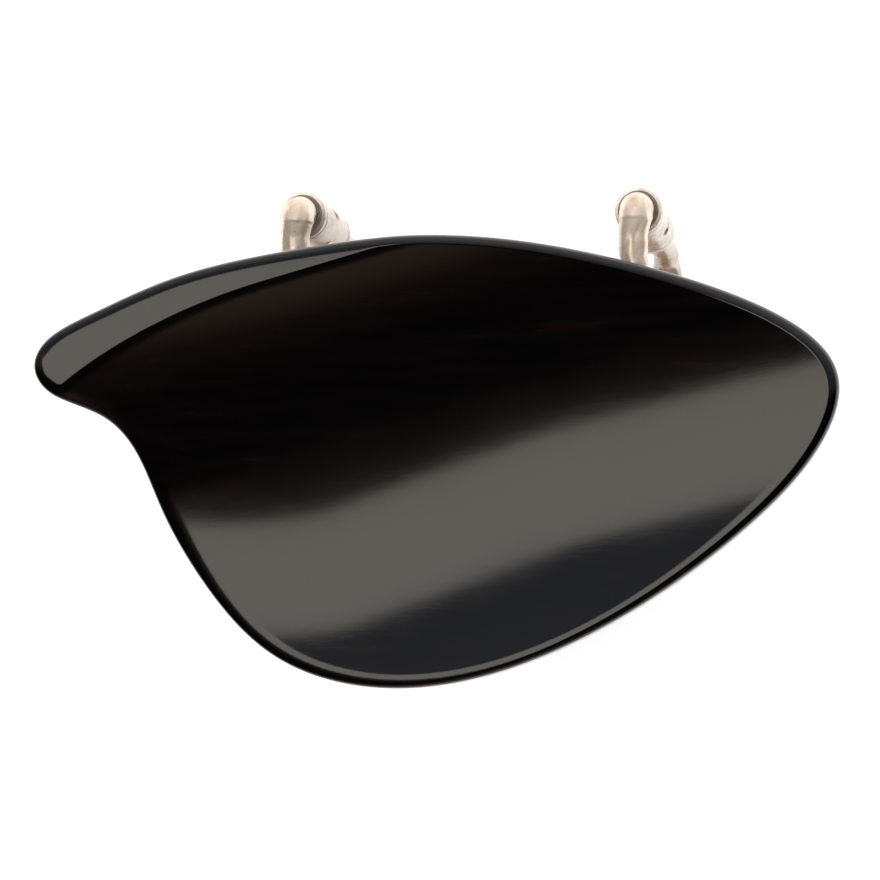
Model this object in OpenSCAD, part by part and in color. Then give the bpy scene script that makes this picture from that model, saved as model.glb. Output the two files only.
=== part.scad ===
// Side-mounted violin chin rest: a carved ebony plate on a cork-lined foot, held to the
// instrument's edge by two turnbuckle clamps. Millimetres, +Z up. The origin is the middle of
// the base cork's lower face, which lies on the violin's top; +Y points out over the ribs.

/* [Plate] */
// Height of the lowest point of the cup above the violin's top
cup_z = 15.5; // [14:0.5:18]
// Height of the ridge above the lowest point of the cup
ridge_rise = 8; // [6:0.5:9]
// Thickness of the plate, measured straight down
plate_t = 5; // [4:0.5:6]
// Radius of the rounded rim where it is fullest, at the back
rim_r = 1.7; // [1.4:0.1:2]
// Angle between the cup's axis and the violin's edge
cup_angle = 16; // [14:1:18]

/* [Foot and base cork] */
// Radius of the violin's outline under the foot
edge_r = 105; // [95:1:120]
// Width of the foot and its cork
foot_w = 9.5; // [8:0.5:10]
// Half of the angle that the foot spans
foot_half_angle = 19; // [17:0.5:20]
// Thickness of every cork lining
cork_t = 2; // [1.5:0.5:2.5]

/* [Clamps] */
// Distance between the two clamps
clamp_pitch = 50; // [46:1:54]
// How far the clamps' axes stand outside the middle of the cork
clamp_y = 11; // [11:0.5:13]
// Diameter of the clamps' rods
rod_d = 4; // [3.5:0.5:4]
// Outer diameter of the turnbuckle barrels
barrel_d = 7; // [6.8:0.1:8]
// Length of the turnbuckle barrels
barrel_l = 22; // [20:1:24]
// Height of the barrels' upper ends
barrel_top_z = 5.5; // [5:0.5:6]
// Height of the hooks' arms
arm_z = 9; // [9:0.5:9.5]
// Gap between the corks when the clamps are at rest: ribs plus both edges
clamp_gap = 38.5; // [37:0.5:41]
// Diameter of the holes for the adjusting key
key_hole_d = 2.2; // [1.8:0.1:2.4]
// How far the key holes are turned away from square to the violin's edge
key_hole_turn = 25; // [15:5:35]

/* [Hidden] */
$fn = 64;

// Corners of the smooth closed curve round the plate, clockwise from the tip of the horn
OUTLINE = [
    [-61.8, -13.2], [-59.2, -8.4], [-52, -5.2], [-39.8, 0.6], [-24, 3.6], [-5, 6.2],
    [13.8, 5], [33, 0.2], [46.2, -5], [54.2, -11], [55.6, -18], [50.6, -27.8],
    [40, -38], [25.6, -48.6], [8.2, -57.2], [-9, -60.2], [-24.6, -56.8], [-34.4, -48],
    [-43, -35], [-46, -26], [-50.4, -19.6], [-58.4, -18]];
// The rings of the plate's mesh run from the rim to this point
PLATE_CENTRE = [-3.4, -17];

// Curve steps between two corners of the outline, and rings inside the rim
OUTLINE_STEPS = 5;
RIM_STEPS = 4;
CUP_RINGS = 9;
// How much the rings crowd towards the rim
RING_CROWDING = 1.25;

// Where the floor of the cup, the end of its trough and the crest of the ridge lie
TROUGH_T = -19.6;
TROUGH_END_S = -26.3;
CREST_RHO = 25.4;
// How much more gently the trough's end rises than its side
END_SHARE = 0.3;
WALL_POWER = 2.6;
FRONT_R = 150;
RIGHT_R = 420;
RIGHT_S = 6.7;
LAND_TILT = 0.09;
CREST_BLEND = 0.7;

// The rim is fullest on this side, and its radius falls to this share on the opposite side,
// where a gentle shoulder of this width and radius leads into it
RIM_SIDE = [0.64, 0.77];
RIM_LEAST = 0.45;
SHOULDER_W = 1.8;
SHOULDER_R = 8;

// The wooden foot: sections along it, the flare of its inner side and the draft of its outer side
FOOT_STEPS = 16;
FOOT_FLARE = 3;
FOOT_DRAFT = 1.2;
// Height above the cork at which the foot's end faces have their middle point
FOOT_END_RISE = 4;

// Sizes of the clamps' details
HOOK_DEPTH = 7.5;
KNUCKLE_D = 5;
RUNNING_GAP = 0.05;
BARREL_CHAMFER = 0.5;
MOUTH_D = 6;
MOUTH_DEPTH = 0.9;
GROOVE_DEPTH = 0.3;
GROOVE_W = 0.6;
GROOVE_INSET = 1.6;
ROD_END_CLEARANCE = 3.5;
PADDLE_T = 2;
PADDLE_W = 11;
PADDLE_REACH = 17;
PADDLE_NECK_W = 9;
PADDLE_NECK = 4;
LEG_BEND_R = 4;
CORK_INSET = 0.3;
// Thin slices that the forged shapes of a paddle are hulled from
SLICE = 0.2;
HULL_FN = 32;
STRIP_FN = 180;

barrel_mid_z = barrel_top_z - barrel_l / 2;
foot_top_z = -clamp_gap;
paddle_top_z = foot_top_z - cork_t;
paddle_mid_z = paddle_top_z - PADDLE_T / 2;
bend_y = clamp_y - LEG_BEND_R;
paddle_root_y = bend_y - PADDLE_NECK - PADDLE_W / 2;
arc_centre_y = -edge_r;

// Uniform cubic curve: weights of the four corners that shape a step
function weights(u) = [pow(1 - u, 3), 3 * pow(u, 3) - 6 * u * u + 4,
                       -3 * pow(u, 3) + 3 * u * u + 3 * u + 1, pow(u, 3)] / 6;
function curve_point(corners, i, u) =
    let (n = len(corners), w = weights(u))
    w[0] * corners[(i + n - 1) % n] + w[1] * corners[i]
    + w[2] * corners[(i + 1) % n] + w[3] * corners[(i + 2) % n];
RIM = [for (i = [0:len(OUTLINE) - 1], j = [0:OUTLINE_STEPS - 1])
       curve_point(OUTLINE, i, j / OUTLINE_STEPS)];
function rim_point(i) = RIM[(i + len(RIM)) % len(RIM)];
function inward(i) =
    let (d = rim_point(i + 1) - rim_point(i - 1))
    [d[1], -d[0]] / norm(d);

// Height of the upper surface. T runs across the cup's trough and S along it
function across(p) = -p[0] * sin(cup_angle) + p[1] * cos(cup_angle) - TROUGH_T;
function along(p) = p[0] * cos(cup_angle) + p[1] * sin(cup_angle);
function wall_rho(t, s) = sqrt(pow(max(t, 0), 2) + END_SHARE * pow(min(s - TROUGH_END_S, 0), 2));
function cup_height(t, s) =
    ridge_rise * pow(wall_rho(t, s) / CREST_RHO, WALL_POWER)
    + pow(min(t, 0), 2) / (2 * FRONT_R) + pow(max(s - RIGHT_S, 0), 2) / (2 * RIGHT_R);
function land_height(t) = ridge_rise - LAND_TILT * (t - CREST_RHO);
function blend_low(a, b, k) =
    let (h = min(1, max(0, 0.5 + 0.5 * (b - a) / k)))
    b * (1 - h) + a * h - k * h * (1 - h);
function bowl_z(p) =
    let (t = across(p))
    cup_z + blend_low(cup_height(t, along(p)), land_height(t), CREST_BLEND);

// The rim's size at a point of the outline, and how far the shoulder drops inside it
function fullness(i) = (1 - inward(i) * RIM_SIDE) / 2;
function rim_radius(i) = rim_r * (RIM_LEAST + (1 - RIM_LEAST) * fullness(i));
function shoulder_w(i) = SHOULDER_W * (1 - fullness(i));
function rim_start(i) = 90 - shoulder_w(i) / SHOULDER_R * 180 / PI;
function shoulder(i, d) = pow(max(0, shoulder_w(i) - d), 2) / (2 * SHOULDER_R);

// Rings of points round the plate, from the middle of the top over the rim to the underside
function inset_point(i, d) = rim_point(i) + d * inward(i);
function rim_edge(i) = inset_point(i, rim_radius(i) * (1 - cos(rim_start(i))));
function scaled(p, k) = PLATE_CENTRE + k * (p - PLATE_CENTRE);
function top_ring(k) = [for (i = [0:len(RIM) - 1])
    let (p = scaled(rim_edge(i), k))
    [p[0], p[1], bowl_z(p) - shoulder(i, (p - rim_edge(i)) * inward(i))]];
function upper_rim_ring(share) = [for (i = [0:len(RIM) - 1])
    let (r = rim_radius(i), a0 = rim_start(i), a = share * a0, p = inset_point(i, r * (1 - cos(a))))
    [p[0], p[1], bowl_z(rim_edge(i)) - shoulder(i, 0) - r * (sin(a0) - sin(a))]];
function lower_rim_ring(a) = [for (i = [0:len(RIM) - 1])
    let (r = rim_radius(i), p = inset_point(i, r * (1 - cos(a))))
    [p[0], p[1], bowl_z(inset_point(i, r)) - plate_t + r * (1 - sin(a))]];
function under_ring(k) = [for (i = [0:len(RIM) - 1])
    let (p = scaled(inset_point(i, rim_radius(i)), k))
    [p[0], p[1], bowl_z(p) - plate_t]];
function ring_scale(j) = 1 - pow(1 - j / CUP_RINGS, RING_CROWDING);
PLATE_RINGS = concat(
    [for (j = [1:CUP_RINGS]) top_ring(ring_scale(j))],
    [for (j = [RIM_STEPS - 1:-1:0]) upper_rim_ring(j / RIM_STEPS)],
    [for (j = [0:RIM_STEPS - 1]) lower_rim_ring(90 * j / RIM_STEPS)],
    [for (j = [CUP_RINGS:-1:1]) under_ring(ring_scale(j))]);

// A closed skin over rings of equal length, with a point at each end
module skin(rings, first, last) {
    n = len(rings[0]);
    m = len(rings);
    points = concat([first], [for (r = rings) each r], [last]);
    sides = [for (j = [0:m - 2], i = [0:n - 1]) each
             [[1 + j * n + i, 1 + (j + 1) * n + i, 1 + (j + 1) * n + (i + 1) % n],
              [1 + j * n + i, 1 + (j + 1) * n + (i + 1) % n, 1 + j * n + (i + 1) % n]]];
    start = [for (i = [0:n - 1]) [0, 1 + i, 1 + (i + 1) % n]];
    finish = [for (i = [0:n - 1]) [1 + m * n, 1 + (m - 1) * n + (i + 1) % n, 1 + (m - 1) * n + i]];
    polyhedron(points, concat(start, sides, finish));
}

module dish() {
    top = [PLATE_CENTRE[0], PLATE_CENTRE[1], bowl_z(PLATE_CENTRE)];
    skin(PLATE_RINGS, top, top - [0, 0, plate_t]);
}

// Section of the wooden foot at an angle along the violin's edge; its head ends in the plate
function on_arc(a, r) = [r * sin(a), arc_centre_y + r * cos(a)];
function foot_column(a, r, z) = [on_arc(a, r)[0], on_arc(a, r)[1], z];
function foot_head(a, r) = foot_column(a, r, bowl_z(on_arc(a, r)) - plate_t / 2);
function foot_knee(a, r) = foot_column(a, r, bowl_z(on_arc(a, r)) - plate_t - FOOT_FLARE);
function foot_section(a) =
    let (outer = edge_r + foot_w / 2, inner = edge_r - foot_w / 2)
    [foot_column(a, outer, cork_t), foot_knee(a, outer - FOOT_DRAFT),
     foot_head(a, outer - FOOT_DRAFT), foot_head(a, inner - FOOT_FLARE), foot_knee(a, inner),
     foot_column(a, inner, cork_t)];

module foot() {
    sections = [for (j = [0:FOOT_STEPS]) foot_section(foot_half_angle * (2 * j / FOOT_STEPS - 1))];
    first = foot_column(-foot_half_angle, edge_r, cork_t + FOOT_END_RISE);
    last = foot_column(foot_half_angle, edge_r, cork_t + FOOT_END_RISE);
    skin(sections, first, last);
}

module plate() {
    color([0.07, 0.065, 0.065])
    difference() {
        union() {
            dish();
            foot();
        }
        for (side = [-1, 1])
            translate([side * clamp_pitch / 2, clamp_y, arm_z])
                rotate([90, 0, 0])
                    cylinder(d = rod_d, h = hook_reach());
    }
}

// How far a hook runs from its knuckle to its tip inside the foot
function hook_reach() =
    clamp_y - (arc_centre_y + sqrt(pow(edge_r + foot_w / 2, 2) - pow(clamp_pitch / 2, 2))) + HOOK_DEPTH;

// A strip of cork or wood that follows the violin's edge
module edge_strip(height) {
    translate([0, arc_centre_y, 0])
        rotate([0, 0, 90 - foot_half_angle])
            rotate_extrude(angle = 2 * foot_half_angle, $fn = STRIP_FN)
                translate([edge_r - foot_w / 2, 0])
                    square([foot_w, height]);
}

module base_cork() {
    color([0.72, 0.52, 0.33]) edge_strip(cork_t);
}

// Upper rod: its arm goes into the foot, its knuckle turns down and its shank into the barrel
module hook(side) {
    color([0.83, 0.80, 0.76])
    translate([side * clamp_pitch / 2, clamp_y, 0]) {
        translate([0, 0, arm_z]) {
            sphere(d = KNUCKLE_D);
            rotate([90, 0, 0]) cylinder(d = rod_d, h = hook_reach());
        }
        translate([0, 0, barrel_mid_z + ROD_END_CLEARANCE])
            cylinder(d = rod_d, h = arm_z - barrel_mid_z - ROD_END_CLEARANCE);
    }
}

module left_hook() hook(-1);
module right_hook() hook(1);

// Turnbuckle: a bored barrel with a countersunk mouth, two grooves and two crossed key holes
module barrel(side) {
    bore_d = rod_d + 2 * RUNNING_GAP;
    color([0.80, 0.78, 0.75])
    translate([side * clamp_pitch / 2, clamp_y, barrel_mid_z])
        difference() {
            rotate_extrude() polygon(barrel_profile(bore_d / 2));
            for (turn = [0, 90])
                rotate([90, 0, turn - side * key_hole_turn])
                    cylinder(d = key_hole_d, h = 2 * barrel_d, center = true);
        }
}

// Half section of a barrel, mirrored about its middle
function half_profile(bore_r) =
    let (r = barrel_d / 2, l = barrel_l / 2, g = l - GROOVE_INSET)
    [[r, g - GROOVE_W], [r - GROOVE_DEPTH, g - GROOVE_W / 2], [r, g],
     [r, l - BARREL_CHAMFER], [r - BARREL_CHAMFER, l], [MOUTH_D / 2, l], [bore_r, l - MOUTH_DEPTH]];
function barrel_profile(bore_r) =
    let (upper = half_profile(bore_r))
    concat(upper, [for (i = [len(upper) - 1:-1:0]) [upper[i][0], -upper[i][1]]]);

module left_barrel() barrel(-1);
module right_barrel() barrel(1);

// Lower rod: its shank screws into the barrel, and its forged end is the paddle under the back
module leg(side) {
    color([0.83, 0.80, 0.76])
    translate([side * clamp_pitch / 2, 0, 0]) {
        translate([0, clamp_y, paddle_mid_z + LEG_BEND_R])
            cylinder(d = rod_d, h = barrel_mid_z - ROD_END_CLEARANCE - paddle_mid_z - LEG_BEND_R);
        translate([0, bend_y, paddle_mid_z + LEG_BEND_R])
            rotate([0, 90, 0])
                rotate_extrude(angle = 90) translate([LEG_BEND_R, 0]) circle(d = rod_d, $fn = HULL_FN);
        hull() {
            translate([0, bend_y, paddle_mid_z]) rotate([90, 0, 0])
                cylinder(d = rod_d, h = SLICE, $fn = HULL_FN);
            paddle_neck();
        }
        hull() {
            paddle_neck();
            for (y = [paddle_root_y, clamp_y - PADDLE_REACH])
                translate([0, y, paddle_mid_z - PADDLE_T / 2])
                    cylinder(d = PADDLE_W, h = PADDLE_T, $fn = HULL_FN);
        }
    }
}

module paddle_neck() {
    translate([-PADDLE_NECK_W / 2, bend_y - PADDLE_NECK, paddle_mid_z - PADDLE_T / 2])
        cube([PADDLE_NECK_W, SLICE, PADDLE_T]);
}

module left_leg() leg(-1);
module right_leg() leg(1);

// Cork lining on a paddle
module foot_cork(side) {
    cork_d = PADDLE_W - 2 * CORK_INSET;
    near_y = bend_y - PADDLE_NECK - CORK_INSET - cork_d / 2;
    far_y = clamp_y - PADDLE_REACH;
    color([0.72, 0.52, 0.33])
    translate([side * clamp_pitch / 2, 0, paddle_top_z])
        linear_extrude(cork_t) {
            for (y = [near_y, far_y]) translate([0, y]) circle(d = cork_d);
            translate([-cork_d / 2, far_y]) square([cork_d, near_y - far_y]);
        }
}

module left_foot_cork() foot_cork(-1);
module right_foot_cork() foot_cork(1);

plate();
base_cork();
left_hook();
right_hook();
left_barrel();
right_barrel();
left_leg();
right_leg();
left_foot_cork();
right_foot_cork();
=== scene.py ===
import math

import bmesh
import bpy
import numpy as np
from mathutils import Matrix, Vector, noise


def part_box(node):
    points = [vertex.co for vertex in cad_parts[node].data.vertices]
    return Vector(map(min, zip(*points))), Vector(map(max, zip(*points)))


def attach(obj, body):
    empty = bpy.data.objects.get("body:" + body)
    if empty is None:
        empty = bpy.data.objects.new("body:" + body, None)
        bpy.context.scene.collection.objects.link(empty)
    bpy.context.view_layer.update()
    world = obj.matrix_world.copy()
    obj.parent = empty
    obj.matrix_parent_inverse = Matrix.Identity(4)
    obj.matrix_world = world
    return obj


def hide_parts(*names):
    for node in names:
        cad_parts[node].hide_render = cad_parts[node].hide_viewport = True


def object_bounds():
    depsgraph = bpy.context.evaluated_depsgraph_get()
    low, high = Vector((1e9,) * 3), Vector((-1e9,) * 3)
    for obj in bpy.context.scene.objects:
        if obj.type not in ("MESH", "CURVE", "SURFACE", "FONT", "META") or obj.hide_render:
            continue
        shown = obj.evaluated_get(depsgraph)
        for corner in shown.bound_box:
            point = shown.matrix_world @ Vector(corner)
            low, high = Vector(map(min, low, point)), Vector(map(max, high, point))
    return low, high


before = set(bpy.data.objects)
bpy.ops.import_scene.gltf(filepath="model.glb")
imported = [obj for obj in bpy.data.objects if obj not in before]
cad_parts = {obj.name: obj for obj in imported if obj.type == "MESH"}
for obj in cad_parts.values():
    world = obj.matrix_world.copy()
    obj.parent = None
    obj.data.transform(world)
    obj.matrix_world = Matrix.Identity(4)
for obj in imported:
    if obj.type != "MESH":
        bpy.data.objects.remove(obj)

# A violin chin rest: carved ebony plate on a cork-lined foot, with two turnbuckle clamps.
# Shapes are worked out in millimetres, in the frame of the CAD model, and stored in metres.

MM = 0.001
CAD_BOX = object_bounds()
SIDES = ("left", "right")


def box_mm(node):
    low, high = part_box(node)
    return np.array(low) / MM, np.array(high) / MM


# ---------------------------------------------------------------- camera

def look_at(obj, target, up):
    """Points a camera or light at a place."""
    forward = (Vector(target) - obj.location).normalized()
    right = forward.cross(Vector(up)).normalized()
    true_up = right.cross(forward)
    obj.rotation_euler = Matrix((right, true_up, -forward)).transposed().to_euler()


VIEW_DISTANCE = 0.52
VIEW_TILT = math.radians(9.9)
VIEW_TURN = math.radians(-28)
VIEW_ROLL = math.radians(0.58)
VIEW_TARGET = Vector((-0.0022, -0.0235, 0.017))


def make_camera():
    data = bpy.data.cameras.new("camera")
    data.lens = 148.3
    data.sensor_width = 36
    data.clip_end = 20
    camera = bpy.data.objects.new("camera", data)
    bpy.context.scene.collection.objects.link(camera)
    level = Vector((math.cos(VIEW_TURN), math.sin(VIEW_TURN), 0)) * math.sin(VIEW_TILT)
    camera.location = VIEW_TARGET + VIEW_DISTANCE * (level + Vector((0, 0, math.cos(VIEW_TILT))))
    look_at(camera, VIEW_TARGET, up=(-math.sin(VIEW_ROLL), math.cos(VIEW_ROLL), 0))
    bpy.context.scene.camera = camera


make_camera()


# ---------------------------------------------------------------- material helpers

class Shader:
    """One material's node tree, with its Principled shader ready."""

    def __init__(self, name):
        self.material = bpy.data.materials.new(name)
        self.material.use_nodes = True
        self.tree = self.material.node_tree
        self.surface = self.tree.nodes["Principled BSDF"]
        self.coords = self.add("ShaderNodeTexCoord").outputs["Object"]

    def add(self, kind, **settings):
        node = self.tree.nodes.new(kind)
        for key, value in settings.items():
            setattr(node, key, value)
        return node

    def link(self, source, target):
        self.tree.links.new(source, target)

    def stretched(self, scale, turn=0.0):
        mapping = self.add("ShaderNodeMapping")
        mapping.inputs["Scale"].default_value = scale
        mapping.inputs["Rotation"].default_value = (0, 0, turn)
        self.link(self.coords, mapping.inputs["Vector"])
        return mapping.outputs["Vector"]

    def noise(self, vector, scale, detail=4.0, rough=0.5):
        node = self.add("ShaderNodeTexNoise")
        node.inputs["Scale"].default_value = scale
        node.inputs["Detail"].default_value = detail
        node.inputs["Roughness"].default_value = rough
        self.link(vector, node.inputs["Vector"])
        return node.outputs["Fac"]

    def cells(self, vector, scale, feature="F1", output="Distance"):
        node = self.add("ShaderNodeTexVoronoi", feature=feature)
        node.inputs["Scale"].default_value = scale
        self.link(vector, node.inputs["Vector"])
        return node.outputs[output]

    def ramp(self, value, stops):
        node = self.add("ShaderNodeValToRGB")
        ramp = node.color_ramp
        while len(ramp.elements) < len(stops):
            ramp.elements.new(0.5)
        for element, (place, colour) in zip(ramp.elements, stops):
            element.position = place
            element.color = (*colour, 1)
        self.link(value, node.inputs["Fac"])
        return node.outputs["Color"]

    def remap(self, value, low, high, start=0.0, end=1.0):
        node = self.add("ShaderNodeMapRange")
        node.inputs["From Min"].default_value = start
        node.inputs["From Max"].default_value = end
        node.inputs["To Min"].default_value = low
        node.inputs["To Max"].default_value = high
        self.link(value, node.inputs["Value"])
        return node.outputs["Result"]

    def mix(self, factor, a, b, blend="MIX"):
        node = self.add("ShaderNodeMix", data_type="RGBA", blend_type=blend)
        for socket, value in ((node.inputs[0], factor), (node.inputs[6], a), (node.inputs[7], b)):
            if isinstance(value, bpy.types.NodeSocket):
                self.link(value, socket)
            else:
                socket.default_value = value
        return node.outputs[2]

    def math(self, operation, a, b):
        node = self.add("ShaderNodeMath", operation=operation)
        for socket, value in zip(node.inputs, (a, b)):
            if isinstance(value, bpy.types.NodeSocket):
                self.link(value, socket)
            else:
                socket.default_value = value
        return node.outputs["Value"]

    def bump(self, height, distance, strength=1.0, under=None):
        node = self.add("ShaderNodeBump")
        node.inputs["Distance"].default_value = distance
        node.inputs["Strength"].default_value = strength
        self.link(height, node.inputs["Height"])
        if under is not None:
            self.link(under, node.inputs["Normal"])
        return node.outputs["Normal"]

    def set(self, **values):
        for key, value in values.items():
            socket = self.surface.inputs[key.replace("_", " ")]
            if isinstance(value, bpy.types.NodeSocket):
                self.link(value, socket)
            else:
                socket.default_value = value


CUP_ANGLE = math.radians(16)


def ebony():
    """Polished ebony: nearly black, with faint brown bands and fine pores along the grain."""
    s = Shader("ebony")
    along_grain = lambda stretch: s.stretched((1, stretch, stretch), turn=-CUP_ANGLE)
    bands = s.noise(along_grain(12), 45, detail=6, rough=0.6)
    colour = s.ramp(bands, [(0.35, (0.0006, 0.0005, 0.0005)), (0.6, (0.0011, 0.0008, 0.0008)),
                            (0.78, (0.0042, 0.0018, 0.0014))])
    pores = s.noise(along_grain(26), 240, detail=4)
    specks = s.noise(s.coords, 5200, detail=2)
    dust = s.remap(specks, 0, 1, 0.64, 0.8)
    dusty = s.mix(s.math("MULTIPLY", dust, 0.025), colour, (0.05, 0.048, 0.045, 1))
    haze = s.noise(s.coords, 70, detail=5)
    rough = s.math("ADD", s.remap(haze, 0.06, 0.085, 0.3, 0.7), s.remap(pores, 0.0, 0.025, 0.5, 0.75))
    hand_polish = s.bump(s.noise(along_grain(2.5), 40, detail=2), 0.00005, 0.12)
    grain = s.bump(s.remap(pores, 0, 1, 0.5, 0.7), 0.000004, 0.08, under=hand_polish)
    s.set(Base_Color=dusty, Roughness=rough, Normal=s.bump(specks, 0.000004, 0.3, under=grain), IOR=1.5)
    return s.material


def cork():
    """Pressed cork: granules of several browns with dark gaps between them."""
    s = Shader("cork")
    crumbs = s.noise(s.coords, 900, detail=3)
    grains = s.cells(s.coords, 900, output="Color")
    colour = s.ramp(grains, [(0.0, (0.25, 0.125, 0.055)), (0.35, (0.40, 0.22, 0.105)),
                             (0.7, (0.52, 0.31, 0.16)), (1.0, (0.62, 0.40, 0.22))])
    edges = s.cells(s.coords, 900, feature="DISTANCE_TO_EDGE")
    gaps = s.remap(edges, 0.0, 1.0, 0.0, 0.09)
    dark = s.mix(gaps, (0.12, 0.055, 0.025, 1), colour)
    flecks = s.remap(s.noise(s.coords, 2600, detail=2), 0, 1, 0.6, 0.72)
    flecked = s.mix(s.math("MULTIPLY", flecks, 0.6), dark, (0.10, 0.045, 0.02, 1))
    relief = s.bump(gaps, 0.00012, 0.8, under=s.bump(crumbs, 0.00015, 0.6))
    s.set(Base_Color=flecked, Roughness=s.remap(crumbs, 0.78, 0.95), Normal=relief)
    return s.material


def nickel(name, scratches, tint):
    """Old satin nickel: creamy where it is worn; its brown patches are partly tarnish and partly a
    painted reflection of brown surroundings.
    """
    s = Shader(name)
    smudges = s.noise(s.coords, 220, detail=5, rough=0.6)
    worn = s.ramp(smudges, [(0.35, tuple(0.82 * v for v in tint)), (0.65, tint)])
    # Brown patches in the base colour: partly tarnish, partly a painted reflection of brown
    # surroundings
    patches = s.noise(s.stretched((1.6, 0.8, 0.6)), 260, detail=7, rough=0.65)
    tarnish_and_painted_reflection = s.remap(patches, 0, 0.8, 0.47, 0.74)
    colour = s.mix(tarnish_and_painted_reflection, worn, (0.34, 0.21, 0.12, 1))
    fine = s.noise(s.stretched(scratches), 1500, detail=4)
    rough = s.math("ADD", s.remap(smudges, 0.24, 0.34, 0.3, 0.7), s.remap(fine, -0.01, 0.04, 0.4, 0.7))
    ripple = s.bump(s.noise(s.coords, 500, detail=2), 0.00005, 0.3)
    s.set(Base_Color=colour, Metallic=0.7, Roughness=rough,
          Normal=s.bump(fine, 0.000006, 0.4, under=ripple))
    return s.material


def pale_floor():
    s = Shader("pale_floor")
    shade = s.noise(s.coords, 6, detail=3)
    s.set(Base_Color=s.ramp(shade, [(0.3, (0.86, 0.86, 0.86)), (0.7, (0.9, 0.9, 0.9))]),
          Roughness=0.9, Specular_IOR_Level=0.1)
    return s.material


def pale_wall():
    s = Shader("pale_wall")
    s.set(Base_Color=(0.9, 0.9, 0.9, 1), Roughness=0.9,
          Emission_Color=(1, 1, 1, 1), Emission_Strength=0.9)
    return s.material


EBONY = ebony()
CORK = cork()
HOOK_METAL = nickel("hook_metal", (1, 1, 1), (0.74, 0.62, 0.50))
BARREL_METAL = nickel("barrel_metal", (1, 1, 12), (0.70, 0.62, 0.54))
LEG_METAL = nickel("leg_metal", (1, 1, 1), (0.72, 0.62, 0.52))


# ---------------------------------------------------------------- mesh helpers

def new_object(name, mesh, material, body, nodes):
    obj = bpy.data.objects.new(name, mesh)
    bpy.context.scene.collection.objects.link(obj)
    mesh.materials.clear()
    mesh.materials.append(material)
    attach(obj, body)
    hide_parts(*nodes)
    return obj


def build_mesh(name, points_mm, faces):
    mesh = bpy.data.meshes.new(name)
    mesh.from_pydata([tuple(float(v) * MM for v in p) for p in points_mm], [], faces)
    mesh.validate()
    return mesh


def finish_mesh(mesh, sharp_degrees=40, merge=1e-7):
    bm = bmesh.new()
    bm.from_mesh(mesh)
    bmesh.ops.remove_doubles(bm, verts=bm.verts, dist=merge)
    bmesh.ops.dissolve_degenerate(bm, edges=bm.edges, dist=merge)
    bmesh.ops.recalc_face_normals(bm, faces=bm.faces)
    limit = math.radians(sharp_degrees)
    for edge in bm.edges:
        edge.smooth = not (len(edge.link_faces) == 2 and edge.calc_face_angle(0) > limit)
    for face in bm.faces:
        face.smooth = True
    bm.to_mesh(mesh)
    bm.free()
    return mesh


def skin(rings, close_start=True, close_end=True):
    """Points and faces of a closed skin over rings of equal length; its ends are fans."""
    n = len(rings[0])
    points = [p for ring in rings for p in ring]
    faces = [(j * n + i, j * n + (i + 1) % n, (j + 1) * n + (i + 1) % n, (j + 1) * n + i)
             for j in range(len(rings) - 1) for i in range(n)]
    for wanted, j in ((close_start, 0), (close_end, len(rings) - 1)):
        if wanted:
            points.append(np.mean(np.asarray(rings[j]), axis=0))
            middle = len(points) - 1
            faces += [(middle, j * n + i, j * n + (i + 1) % n) for i in range(n)]
    return points, faces


def smoothstep(x):
    x = np.clip(x, 0, 1)
    return x * x * (3 - 2 * x)


# ---------------------------------------------------------------- plate

# Corners of the smooth closed curve round the plate, clockwise from the tip of the horn
OUTLINE = np.array([
    (-61.8, -13.2), (-59.2, -8.4), (-52, -5.2), (-39.8, 0.6), (-24, 3.6), (-5, 6.2),
    (13.8, 5), (33, 0.2), (46.2, -5), (54.2, -11), (55.6, -18), (50.6, -27.8),
    (40, -38), (25.6, -48.6), (8.2, -57.2), (-9, -60.2), (-24.6, -56.8), (-34.4, -48),
    (-43, -35), (-46, -26), (-50.4, -19.6), (-58.4, -18)])
PLATE_CENTRE = np.array((-3.4, -17.0))
PLATE_T = 5.0
CUP_Z = 15.5
RIDGE_RISE = 8.0

# The rim is fullest on one side; opposite it is slim, and a soft shoulder leads into it
RIM_R = 1.7
RIM_SIDE = np.array((0.64, 0.77))
RIM_LEAST = 0.45
SHOULDER_W = 1.8
SHOULDER_R = 8.0

# The foot follows the violin's edge; its wall leans in a little and has a fillet at the top
CORK_T = 2.0
EDGE_R = 105.0
FOOT_HALF_ANGLE = math.radians(19)
WALL_LEAN = 1.2
FOOT_LIFT = 0.3
FILLET_SHARE = 0.8
FILLET_LEAST, FILLET_MOST = 0.3, 7.0

# Places on the plate's outline that the foot's four corners face, in the corners' order
FACING = [(-38, 0.8), (37, -1), (49, -28), (-44, -26)]


def closed_curve(corners, steps):
    u = np.arange(steps)[:, None] / steps
    weights = ((1 - u) ** 3 / 6, (3 * u ** 3 - 6 * u ** 2 + 4) / 6,
               (-3 * u ** 3 + 3 * u ** 2 + 3 * u + 1) / 6, u ** 3 / 6)
    n = len(corners)
    return np.concatenate([sum(w * corners[(i + k) % n] for w, k in zip(weights, (-1, 0, 1, 2)))
                           for i in range(n)])


def inward_normals(loop):
    step = np.roll(loop, -1, axis=0) - np.roll(loop, 1, axis=0)
    return np.stack((step[:, 1], -step[:, 0]), axis=1) / np.linalg.norm(step, axis=1)[:, None]


# The cup's deepest line, its ridge with a flat land, and the gentle rise of its other sides
TROUGH_T = -19.6
TROUGH_END = -26.3
RIGHT_START = 6.7
CREST_RHO = 25.4
END_SHARE = 0.3
WALL_POWER = 2.6
FRONT_R = 150
RIGHT_R = 420
LAND_TILT = 0.075
CREST_BLEND = 0.7


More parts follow.
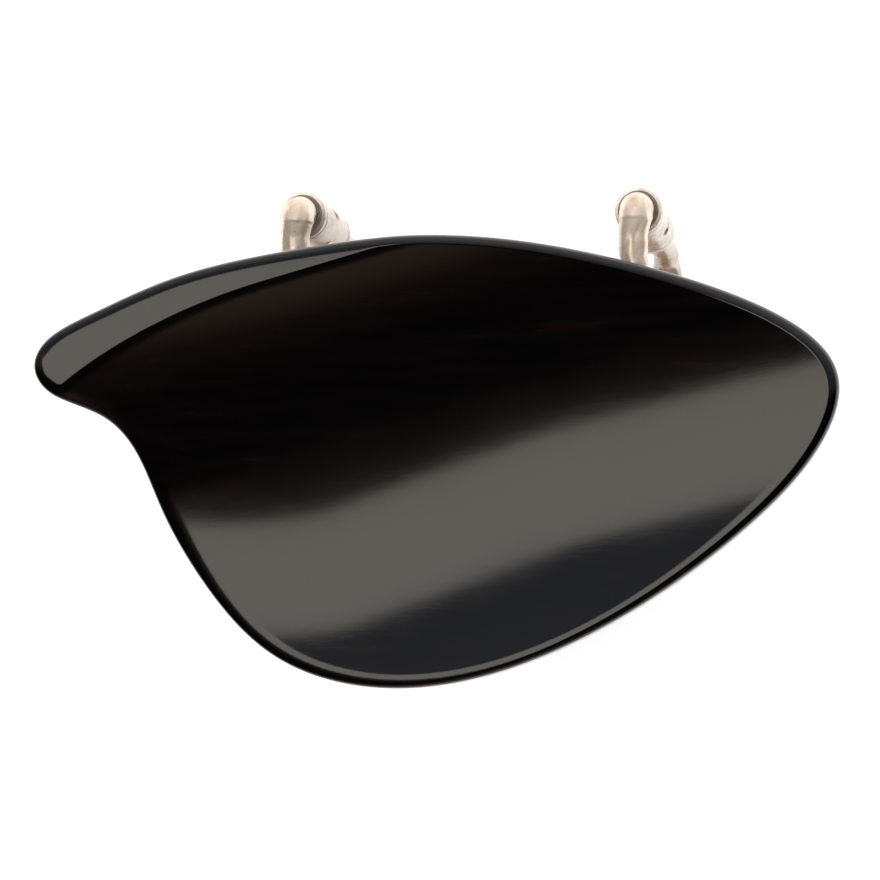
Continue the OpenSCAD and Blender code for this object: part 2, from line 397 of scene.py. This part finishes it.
def bowl_z(p):
    """Height of the carved surface before the rim is rounded; the land is flatter than the CAD's."""
    c, s = math.cos(CUP_ANGLE), math.sin(CUP_ANGLE)
    t = -p[:, 0] * s + p[:, 1] * c - TROUGH_T
    along = p[:, 0] * c + p[:, 1] * s
    rho = np.sqrt(np.maximum(t, 0) ** 2 + END_SHARE * np.minimum(along - TROUGH_END, 0) ** 2)
    cup = (RIDGE_RISE * (rho / CREST_RHO) ** WALL_POWER + np.minimum(t, 0) ** 2 / (2 * FRONT_R)
           + np.maximum(along - RIGHT_START, 0) ** 2 / (2 * RIGHT_R))
    land = RIDGE_RISE - LAND_TILT * (t - CREST_RHO)
    h = np.clip(0.5 + 0.5 * (land - cup) / CREST_BLEND, 0, 1)
    return CUP_Z + land * (1 - h) + cup * h - CREST_BLEND * h * (1 - h)


def with_z(p, z):
    return np.column_stack((p, np.broadcast_to(z, len(p))))


def foot_loop(rim, width, inset):
    """The foot's outline, with one point for each point of the rim, in the same order."""
    half = width / 2 - inset
    turn = FOOT_HALF_ANGLE - inset / EDGE_R
    place = lambda a, r: np.array((r * math.sin(a), r * math.cos(a) - EDGE_R))
    arc = turn * np.linspace(-1, 1, 201)
    end = half * np.linspace(1, -1, 41)[1:-1]
    path = [place(a, EDGE_R + half) for a in arc] + [place(turn, EDGE_R + w) for w in end]
    path += [place(-a, EDGE_R - half) for a in arc] + [place(-turn, EDGE_R - w) for w in end]
    dense = blur(closed_resample(np.array(path), np.linspace(0, 1, 1200, endpoint=False)), 30)
    rim_length = arc_length(rim)
    loop_length = arc_length(dense)
    nearest = lambda p, loop: int(np.argmin(np.hypot(loop[:, 0] - p[0], loop[:, 1] - p[1])))
    corners = [place(-turn, EDGE_R + half), place(turn, EDGE_R + half),
               place(turn, EDGE_R - half), place(-turn, EDGE_R - half)]
    rim_at = np.array([rim_length[nearest(p, rim)] for p in FACING])
    loop_at = np.array([loop_length[nearest(p, dense)] for p in corners])
    loop_at = np.where(loop_at < loop_at[0] - 1e-9, loop_at + 1, loop_at)
    rim_at = np.append(rim_at, rim_at[0] + 1)
    loop_at = np.append(loop_at, loop_at[0] + 1)
    where = np.where(rim_length < rim_at[0], rim_length + 1, rim_length)
    return closed_resample(dense, np.interp(where, rim_at, loop_at) % 1)


def arc_length(loop):
    steps = np.linalg.norm(np.roll(loop, -1, axis=0) - loop, axis=1)
    return np.concatenate(([0], np.cumsum(steps)[:-1])) / steps.sum()


def closed_resample(loop, at):
    length = np.append(arc_length(loop), 1)
    wrapped = np.vstack((loop, loop[:1]))
    return np.stack([np.interp(at, length, wrapped[:, k]) for k in (0, 1)], axis=1)


def blur(values, passes):
    for _ in range(passes):
        values = 0.5 * values + 0.25 * (np.roll(values, 1, axis=0) + np.roll(values, -1, axis=0))
    return values


def make_plate():
    rim = closed_curve(OUTLINE, 20)
    normal = inward_normals(rim)
    fullness = (1 - normal @ RIM_SIDE) / 2
    rim_r = RIM_R * (RIM_LEAST + (1 - RIM_LEAST) * fullness)
    shoulder_w = SHOULDER_W * (1 - fullness)
    start = math.pi / 2 - shoulder_w / SHOULDER_R
    shoulder = lambda d: np.maximum(shoulder_w - d, 0) ** 2 / (2 * SHOULDER_R)
    at = lambda d: rim + d[:, None] * normal
    inner = at(rim_r)
    edge = at(rim_r * (1 - np.cos(start)))
    rings = []
    for k in np.linspace(0, 1, 110)[1:]:
        p = PLATE_CENTRE + (1 - (1 - k) ** 1.35) * (edge - PLATE_CENTRE)
        rings.append(with_z(p, bowl_z(p) - shoulder(np.sum((p - edge) * normal, axis=1))))
    crest = rings[-1][:, 2]
    below = bowl_z(inner) - PLATE_T
    for share in np.linspace(1, 0, 15)[1:]:
        a = share * start
        rings.append(with_z(at(rim_r * (1 - np.cos(a))), crest - rim_r * (np.sin(start) - np.sin(a))))
    for a in np.radians(np.linspace(0, 90, 9)):
        rings.append(with_z(at(rim_r * (1 - math.cos(a))), below + rim_r * (1 - math.sin(a))))
    foot_w = box_mm("base_cork")[1][1] * 2
    wall = foot_loop(rim, foot_w, WALL_LEAN)
    base = foot_loop(rim, foot_w, 0)
    gap = blur(np.linalg.norm(wall - inner, axis=1), 20)
    fillet = np.clip(FILLET_SHARE * gap, FILLET_LEAST, FILLET_MOST)
    far = np.linspace(0, 0.7, 16)[1:]
    near = 1 - 0.3 * np.cos(np.linspace(0, math.pi / 2, 22)[1:]) ** 1.5
    for share in np.concatenate((far, near)):
        p = inner + share * (wall - inner)
        left = np.clip(gap * (1 - share), 0, fillet)
        drop = fillet - np.sqrt(np.maximum(fillet ** 2 - (fillet - left) ** 2, 0))
        rings.append(with_z(p, bowl_z(p) - PLATE_T - drop))
    top = rings[-1][:, 2]
    for share in np.linspace(0, 1, 14)[1:]:
        p = wall + share * (base - wall)
        rings.append(with_z(p, top + share * (CORK_T + FOOT_LIFT - top)))
    rings.append(with_z(base + FOOT_LIFT * inward_normals(base), CORK_T))
    points, faces = skin(rings, close_start=True, close_end=False)
    n = len(rim)
    last = (len(rings) - 1) * n
    faces.append(tuple(last + i for i in range(n)))
    mesh = build_mesh("ebony_plate", points, faces)
    bm = bmesh.new()
    bm.from_mesh(mesh)
    bmesh.ops.triangulate(bm, faces=[f for f in bm.faces if len(f.verts) > 4])
    bm.to_mesh(mesh)
    bm.free()
    new_object("ebony_plate", finish_mesh(mesh, 60), EBONY, "root", ["plate"])


make_plate()


# ---------------------------------------------------------------- corks

CORK_EDGE = 0.35
BASE_CORNER = 1.5


def cork_slab(name, place, nu, nv, z_low, z_high, body, node, seed):
    """A strip with worn edges and pits; place(u, v) gives a point of its plan and its margin."""
    top, bottom = [], []
    for i in range(nu + 1):
        for j in range(nv + 1):
            (x, y), margin = place(i / nu, 2 * j / nv - 1)
            short = max(CORK_EDGE - margin, 0)
            roll = CORK_EDGE - math.sqrt(max(CORK_EDGE ** 2 - short ** 2, 0))
            spot = Vector((x, y, seed))
            pit = 0.10 * max(noise.noise(spot * 1.3), 0) + 0.05 * max(noise.noise(spot * 3.1), 0)
            top.append((x, y, z_high - roll * 0.9 - pit))
            bottom.append((x, y, z_low + roll * 0.9 + pit))
    count = len(top)
    at = lambda i, j: i * (nv + 1) + j
    faces = []
    for i in range(nu):
        for j in range(nv):
            quad = (at(i, j), at(i + 1, j), at(i + 1, j + 1), at(i, j + 1))
            faces += [quad, tuple(count + k for k in reversed(quad))]
    border = ([at(i, 0) for i in range(nu)] + [at(nu, j) for j in range(nv)]
              + [at(i, nv) for i in range(nu, 0, -1)] + [at(0, j) for j in range(nv, 0, -1)])
    for a, b in zip(border, border[1:] + border[:1]):
        faces.append((a, b, count + b, count + a))
    mesh = build_mesh(name, top + bottom, faces)
    new_object(name, finish_mesh(mesh, 50, 1e-6), CORK, body, [node])


def half_width(distance, width, corner):
    """Half width of a strip at a distance from its end, with rounded corners."""
    short = max(corner - distance, 0)
    return width - corner + math.sqrt(max(corner ** 2 - short ** 2, 0))


def spread(u):
    """Moves even steps closer together towards both ends."""
    return 0.5 - 0.5 * math.cos(math.pi * u)


def make_base_cork():
    low, high = box_mm("base_cork")
    width = high[1]
    length = 2 * FOOT_HALF_ANGLE * EDGE_R

    def place(u, v):
        u = spread(u)
        from_end = min(u, 1 - u) * length
        w = half_width(from_end, width, BASE_CORNER)
        a = FOOT_HALF_ANGLE * (2 * u - 1)
        across = math.sin(v * math.pi / 2)
        r = EDGE_R + across * w
        return (r * math.sin(a), r * math.cos(a) - EDGE_R), min(from_end, w * (1 - abs(across)))

    cork_slab("base_cork_strip", place, 240, 44, low[2], high[2], "root", "base_cork", 1.0)


def make_foot_cork(side):
    low, high = box_mm(side + "_foot_cork")
    radius = (high[0] - low[0]) / 2
    middle = (low[0] + high[0]) / 2
    length = high[1] - low[1]

    def place(u, v):
        u = spread(u)
        from_end = min(u, 1 - u) * length
        w = half_width(from_end, radius, radius)
        return (middle + v * w, low[1] + u * length), min(from_end, w * (1 - abs(v)))

    cork_slab(side + "_cork_pad", place, 90, 40, low[2], high[2], side + "_lower_clamp",
              side + "_foot_cork", 5.0 if side == "left" else 9.0)


make_base_cork()
for name in SIDES:
    make_foot_cork(name)


# ---------------------------------------------------------------- rods

ROD_D = 4.0
ROD_R = 1.98
ROD_END_R = 1.5
ROD_CHAMFER_L = 0.3
THREAD_PITCH = 0.7
THREAD_DEPTH = 0.4
THREAD_FADE = 0.8
# Share of the pitch that stays flat at the crest, and where the groove is full
THREAD_FLAT, THREAD_FULL = 0.12, 0.88
SCREW_PITCH = 1.5
SCREW_DEPTH = 0.45
SCREW_LENGTH = 8.0


def thread(z, angle, hand, start, end):
    """How far a rod's surface drops into its screw thread at a height and an angle."""
    turn = (z / THREAD_PITCH - hand * angle / (2 * math.pi)) % 1
    groove = 1 - abs(2 * turn - 1)
    profile = min(max((groove - THREAD_FLAT) / (THREAD_FULL - THREAD_FLAT), 0), 1)
    fade = float(smoothstep((z - start) / THREAD_FADE) * smoothstep((end - z) / THREAD_FADE))
    return THREAD_DEPTH * profile * fade


class Sweep:
    """A rod in a plane of constant X: each step has a centre, a direction and its half sizes."""

    def __init__(self, x, around=64):
        self.x = x
        self.around = around
        self.rings = []

    def ring(self, y, z, heading, half_x, out, inner=None, power=2.0, dent=None, shift=0.0):
        """heading is the path's angle in the YZ plane; out and inner are half sizes across it."""
        inner = out if inner is None else inner
        side_y, side_z = -math.sin(heading), math.cos(heading)
        ring = []
        for k in range(self.around):
            a = 2 * math.pi * k / self.around
            c, s = math.cos(a), math.sin(a)
            shrink = dent(a) if dent else 0.0
            wide = (half_x - shrink) * math.copysign(abs(c) ** (2 / power), c)
            tall = ((out if s > 0 else inner) - shrink) * math.copysign(abs(s) ** (2 / power), s)
            ring.append((self.x + shift + wide, y + tall * side_y, z + tall * side_z))
        self.rings.append(ring)


# Angle round the rod and depth of each crease
CREASES = [(1.2, 0.09), (1.95, 0.07), (0.55, 0.05), (2.7, 0.05), (4.6, 0.05)]
CREASE_WIDTH = 0.2


def forged(a, s, seed):
    """Shallow lengthwise creases that forging leaves on a rod."""
    total = 0.0
    for k, (place, depth) in enumerate(CREASES):
        centre = place + 0.22 * math.sin(0.9 * s + 1.7 * k + seed)
        gap = (a - centre + math.pi) % (2 * math.pi) - math.pi
        swell = 0.6 + 0.4 * math.sin(0.7 * s + k * 2.1 + seed)
        total += swell * depth * math.exp(-(gap / CREASE_WIDTH) ** 2)
    spot = Vector((math.cos(a) * 1.5, math.sin(a) * 1.5, s * 0.35 + seed))
    return 1.6 * total + 0.05 * noise.noise(spot)


ELBOW_R = 1.9
ELBOW_INNER_R = 0.93 * ELBOW_R
ARM_R = 1.93
ARM_INNER_R = 1.99
ARM_FLATTENING = 0.2
SHOULDER_LENGTH = 1.6
SHOULDER_EASE = 1.4
CAD_MARGIN = 0.05


def make_hook(side, seed):
    low, high = box_mm(side + "_hook")
    knuckle = (high[0] - low[0]) / 2 - CAD_MARGIN
    x = (low[0] + high[0]) / 2
    leg_y = high[1] - knuckle - CAD_MARGIN
    arm_z = high[2] - knuckle - CAD_MARGIN
    tip_y, end_z = low[1], low[2]
    wood_y = tip_y + SCREW_LENGTH
    sweep = Sweep(x)
    arm_end = leg_y - ELBOW_R
    for y in np.linspace(tip_y, wood_y, 90):
        point = smoothstep((y - tip_y) / 3.0)
        screw = lambda a, y=y: SCREW_DEPTH * math.cos(math.pi * y / SCREW_PITCH - a / 2) ** 4
        r = 0.35 + 1.5 * float(point)
        sweep.ring(y, arm_z, 0.0, r, r, dent=screw if point > 0.02 else None)
    for y in np.linspace(wood_y, arm_end, 50)[1:]:
        swell = float(smoothstep((y - leg_y + 4.2) / 3.4))
        clear = float(smoothstep((y - wood_y) / 2.5))
        flat = ARM_FLATTENING * clear * (1 - swell)
        wide = ARM_R + flat + (knuckle - ARM_R) * swell
        tall = ARM_R - flat + (knuckle - ARM_R - 2 * CAD_MARGIN) * swell
        sweep.ring(y, arm_z, 0.0, wide, tall, ARM_INNER_R - flat, shift=(wide - knuckle) * clear,
                   dent=lambda a, y=y: forged(a, y, seed))
    for turn in np.linspace(0, math.pi / 2, 28)[1:]:
        y = arm_end + ELBOW_R * math.sin(turn)
        z = arm_z - ELBOW_R * (1 - math.cos(turn))
        sweep.ring(y, z, -turn, knuckle, knuckle, ELBOW_INNER_R,
                   dent=lambda a, t=turn: forged(a, leg_y + 2 * t, seed) * math.cos(t) ** 2)
    start = arm_z - ELBOW_R
    for z in np.linspace(start, start - SHOULDER_LENGTH, 12)[1:]:
        shoulder = float(smoothstep((start - z) / SHOULDER_EASE))
        r = knuckle + (ROD_R - knuckle) * shoulder
        inner = ELBOW_INNER_R + (ROD_R - ELBOW_INNER_R) * shoulder
        sweep.ring(leg_y, z, -math.pi / 2, r, r, inner)
    thread_top = start - SHOULDER_LENGTH
    for z in np.arange(thread_top - CAD_MARGIN, end_z + ROD_CHAMFER_L, -THREAD_PITCH / 10):
        sweep.ring(leg_y, z, -math.pi / 2, ROD_R, ROD_R,
                   dent=lambda a, z=z: thread(z, a, 1, end_z, thread_top))
    sweep.ring(leg_y, end_z, -math.pi / 2, ROD_END_R, ROD_END_R)
    points, faces = skin(sweep.rings)
    mesh = finish_mesh(build_mesh(side + "_upper_hook", points, faces), 55)
    new_object(side + "_upper_hook", mesh, HOOK_METAL, "root", [side + "_hook"])


LEG_R = 1.97
LEG_THREAD_LENGTH = 15.5
LEG_CREASING = 0.5
BEND_R = 4.0
PADDLE_T = 2.0
PADDLE_EDGE = 0.6
# Half sizes of the leg where its bend ends and the paddle starts to widen
NECK_WIDE = LEG_R + 0.45
NECK_TALL = LEG_R - 0.25
THINNEST = 0.02


def make_leg(side, seed):
    low, high = box_mm(side + "_leg")
    x = (low[0] + high[0]) / 2
    half_w = (high[0] - low[0]) / 2
    leg_y = high[1] - ROD_D / 2
    mid_z = box_mm(side + "_foot_cork")[0][2] - PADDLE_T / 2
    top_z = high[2]
    thread_end = top_z - LEG_THREAD_LENGTH
    bend_z = mid_z + BEND_R
    sweep = Sweep(x)
    sweep.ring(leg_y, top_z, -math.pi / 2, ROD_END_R, ROD_END_R)
    for z in np.arange(top_z - ROD_CHAMFER_L, thread_end, -THREAD_PITCH / 10):
        sweep.ring(leg_y, z, -math.pi / 2, ROD_R, ROD_R,
                   dent=lambda a, z=z: thread(z, a, -1, thread_end, top_z))
    for z in np.linspace(thread_end, bend_z, 30):
        sweep.ring(leg_y, z, -math.pi / 2, LEG_R, LEG_R,
                   dent=lambda a, z=z: LEG_CREASING * forged(a, z, seed))
    for turn in np.linspace(0, math.pi / 2, 30)[1:]:
        y = leg_y - BEND_R * (1 - math.cos(turn))
        z = mid_z + BEND_R * (1 - math.sin(turn))
        flat = float(smoothstep((turn - 0.75) / 0.9))
        wide = LEG_R + (NECK_WIDE - LEG_R) * flat
        tall = LEG_R + (NECK_TALL - LEG_R) * flat
        sweep.ring(y, z, -math.pi / 2 - turn, wide, tall,
                   dent=lambda a, t=turn: LEG_CREASING * forged(a, bend_z - 3 * t, seed))
    start_y = leg_y - BEND_R
    reach = start_y - low[1]
    for share in 1 - np.cos(np.linspace(0, math.pi / 2, 70)[1:]):
        s = share * reach
        widen = float(smoothstep(s / 5.5))
        tip = max(half_w - (reach - s), 0)
        full = math.sqrt(max(half_w ** 2 - tip ** 2, 0))
        wide = min(NECK_WIDE + (half_w - NECK_WIDE) * widen, full)
        tall = NECK_TALL + (PADDLE_T / 2 - NECK_TALL) * float(smoothstep(s / 4.0))
        edge = math.sqrt(min(1.0, (reach - s) / PADDLE_EDGE))
        sweep.ring(start_y - s, mid_z, math.pi, max(wide, THINNEST), max(tall * edge, THINNEST),
                   power=2 + 3.5 * widen)
    points, faces = skin(sweep.rings)
    mesh = finish_mesh(build_mesh(side + "_lower_leg", points, faces), 55)
    new_object(side + "_lower_leg", mesh, LEG_METAL, side + "_lower_clamp",
               [side + "_leg"])


for name, number in (("left", 0.0), ("right", 2.6)):
    make_hook(name, number)
    make_leg(name, number + 1.0)


# ---------------------------------------------------------------- barrels

KEY_HOLE_R = 1.1
KEY_HOLE_TURN = math.radians(25)
SINK_W = 0.3
BORE_R = 2.05
MOUTH_R = 3.0
MOUTH_DEPTH = 1.3
SEAT_DEPTH = 0.9
SEAT_W = 0.25
GROOVE_FROM_END = 1.6
GROOVE_W = 0.75
GROOVE_DEPTH = 0.32
BARREL_CHAMFER = 0.5
EDGE_BREAK = 0.14


def turned(profile, around):
    rings = [[(r * math.cos(2 * math.pi * k / around), r * math.sin(2 * math.pi * k / around), z)
              for k in range(around)] for r, z in profile]
    n = around
    faces = [(j * n + i, j * n + (i + 1) % n, ((j + 1) % len(rings)) * n + (i + 1) % n,
              ((j + 1) % len(rings)) * n + i) for j in range(len(rings)) for i in range(n)]
    return [p for ring in rings for p in ring], faces


def rounded(corners, radius, steps=4):
    """Rounds the corners of a closed profile that carry a radius."""
    out = []
    n = len(corners)
    for i, (r, z) in enumerate(corners):
        here = np.array((r, z), float)
        before = np.array(corners[i - 1], float) - here
        after = np.array(corners[(i + 1) % n], float) - here
        reach = min(radius, 0.4 * np.linalg.norm(before), 0.4 * np.linalg.norm(after))
        a = here + before / np.linalg.norm(before) * reach
        b = here + after / np.linalg.norm(after) * reach
        for k in range(steps + 1):
            t = k / steps
            out.append(tuple((1 - t) ** 2 * a + 2 * t * (1 - t) * here + t * t * b))
    return out


def make_barrel(side):
    low, high = box_mm(side + "_barrel")
    x, y, mid = (low + high) / 2
    r = (high[0] - low[0]) / 2
    half = (high[2] - low[2]) / 2
    groove = half - GROOVE_FROM_END
    upper = [(r, groove - GROOVE_W), (r - GROOVE_DEPTH, groove - 0.6 * GROOVE_W),
             (r - GROOVE_DEPTH, groove - 0.4 * GROOVE_W), (r, groove), (r, half - BARREL_CHAMFER),
             (r - BARREL_CHAMFER, half), (MOUTH_R, half), (BORE_R + SEAT_W, half - SEAT_DEPTH),
             (BORE_R, half - MOUTH_DEPTH)]
    lower = [(q, -z) for q, z in reversed(upper)]
    points, faces = turned(rounded(upper + lower, EDGE_BREAK), 128)
    points = [(px + x, py + y, pz + mid) for px, py, pz in points]
    mesh = build_mesh(side + "_turnbuckle_barrel", points, faces)
    obj = new_object(side + "_turnbuckle_barrel", mesh, BARREL_METAL, side + "_turnbuckle",
                     [side + "_barrel"])
    for turn in (0, math.pi / 2):
        drill(obj, x, y, mid, r, turn + (KEY_HOLE_TURN if side == "left" else -KEY_HOLE_TURN))
    finish_mesh(obj.data, 32, 1e-8)


def drill(obj, x, y, z, r, turn):
    """Cuts one key hole right through a barrel, with a small countersink at each mouth."""
    half = [(KEY_HOLE_R, r - SINK_W - CAD_MARGIN), (KEY_HOLE_R + SINK_W, r - CAD_MARGIN),
            (KEY_HOLE_R + 3 * SINK_W, r + 1)]
    profile = [(q, -h) for q, h in reversed(half)] + half
    n = 48
    rings = [[(q * math.cos(2 * math.pi * k / n), q * math.sin(2 * math.pi * k / n), h)
              for k in range(n)] for q, h in profile]
    points, faces = skin(rings)
    place = (Matrix.Translation((x * MM, y * MM, z * MM)) @ Matrix.Rotation(turn, 4, "Z")
             @ Matrix.Rotation(math.pi / 2, 4, "X"))
    cutter_mesh = finish_mesh(build_mesh("key_hole_cutter", points, faces))
    cutter_mesh.transform(place)
    cutter = bpy.data.objects.new("key_hole_cutter", cutter_mesh)
    bpy.context.scene.collection.objects.link(cutter)
    cut = obj.modifiers.new("key_hole", "BOOLEAN")
    cut.operation = "DIFFERENCE"
    cut.solver = "EXACT"
    cut.object = cutter
    evaluated = obj.evaluated_get(bpy.context.evaluated_depsgraph_get())
    result = bpy.data.meshes.new_from_object(evaluated)
    obj.modifiers.clear()
    obj.data = result
    bpy.data.objects.remove(cutter)


for name in SIDES:
    make_barrel(name)


# ---------------------------------------------------------------- floor, lights and world

STAGE_SIZE = 1.4
STAGE_HEIGHT = 2.0
# The clamps open by almost this much, and the floor stays clear of them
FLOOR_DROP = 0.006


def stage_object(name, points, faces, material):
    mesh = bpy.data.meshes.new(name)
    mesh.from_pydata(points, [], faces)
    mesh.materials.append(material)
    obj = bpy.data.objects.new(name, mesh)
    bpy.context.scene.collection.objects.link(obj)
    return obj


def make_floor():
    """A pale floor, and pale walls far behind it that neither light nor mirror in the object."""
    low = CAD_BOX[0][2] - FLOOR_DROP
    corners = [(-STAGE_SIZE, -STAGE_SIZE), (STAGE_SIZE, -STAGE_SIZE), (STAGE_SIZE, STAGE_SIZE),
               (-STAGE_SIZE, STAGE_SIZE)]
    bottom = [(x, y, low) for x, y in corners]
    top = [(x, y, low + STAGE_HEIGHT) for x, y in corners]
    stage_object("floor", bottom, [(0, 1, 2, 3)], pale_floor())
    walls = stage_object("backdrop", bottom + top,
                         [(k, (k + 1) % 4, (k + 1) % 4 + 4, k + 4) for k in range(4)], pale_wall())
    walls.visible_glossy = False
    walls.visible_diffuse = False
    walls.visible_shadow = False


def softbox(name, place, target, size, radiance, colour, mirrored):
    """A one-sided rectangular light; one that isn't mirrored only lights matt surfaces."""
    data = bpy.data.lights.new(name, "AREA")
    data.shape = "RECTANGLE"
    data.size, data.size_y = size
    data.energy = radiance * math.pi * size[0] * size[1]
    data.color = colour
    light = bpy.data.objects.new(name, data)
    bpy.context.scene.collection.objects.link(light)
    light.location = place
    light.visible_glossy = mirrored
    look_at(light, target, up=(LIGHT_LEAN, 1, 0))


# Where the light that shines in the cup stands, and how far its long sides slant
CUP_LIGHT_PLACE = (-0.25, 0.176, 0.86)
LIGHT_LEAN = -0.1

# The sky's colour by how far a direction leans out over the ribs, from -1 to 1
SKY = [(-1.0, (0.20, 0.13, 0.09)), (-0.75, (0.03, 0.018, 0.013)), (-0.5, (0.002, 0.001, 0.001)),
       (0.05, (0.001, 0.001, 0.001)), (0.09, (0.02, 0.009, 0.007)), (0.13, (0.06, 0.04, 0.032)),
       (0.2, (0.10, 0.09, 0.08)), (0.345, (0.10, 0.108, 0.13)), (0.7, (0.24, 0.24, 0.26)),
       (1.0, (0.40, 0.36, 0.31))]
SKY_STRENGTH = 2.9


def make_world():
    world = bpy.data.worlds.new("studio")
    bpy.context.scene.world = world
    world.use_nodes = True
    nodes, links = world.node_tree.nodes, world.node_tree.links
    direction = nodes.new("ShaderNodeTexCoord").outputs["Generated"]
    split = nodes.new("ShaderNodeSeparateXYZ")
    links.new(direction, split.inputs[0])
    ramp = nodes.new("ShaderNodeValToRGB")
    while len(ramp.color_ramp.elements) < len(SKY):
        ramp.color_ramp.elements.new(0.5)
    for element, (lean, colour) in zip(ramp.color_ramp.elements, SKY):
        element.position = 0.5 + 0.5 * lean
        element.color = (*colour, 1)
    half = nodes.new("ShaderNodeMath")
    half.operation = "MULTIPLY_ADD"
    half.inputs[1].default_value = 0.5
    half.inputs[2].default_value = 0.5
    links.new(split.outputs["Y"], half.inputs[0])
    links.new(half.outputs[0], ramp.inputs["Fac"])
    background = nodes["Background"]
    background.inputs["Strength"].default_value = SKY_STRENGTH
    links.new(ramp.outputs["Color"], background.inputs["Color"])


def make_lights():
    softbox("floor_light", (0.08, -0.15, 1.4), (0.08, -0.15, 0), (2.4, 2.4), 3.7,
            (0.98, 0.99, 1.0), False)
    softbox("cup_light", CUP_LIGHT_PLACE, (0, -0.02, 0.02), (0.49, 0.15), 2.5,
            (1.0, 0.955, 0.83), True)


make_floor()
make_world()
make_lights()
bpy.context.scene.view_settings.view_transform = "Standard"
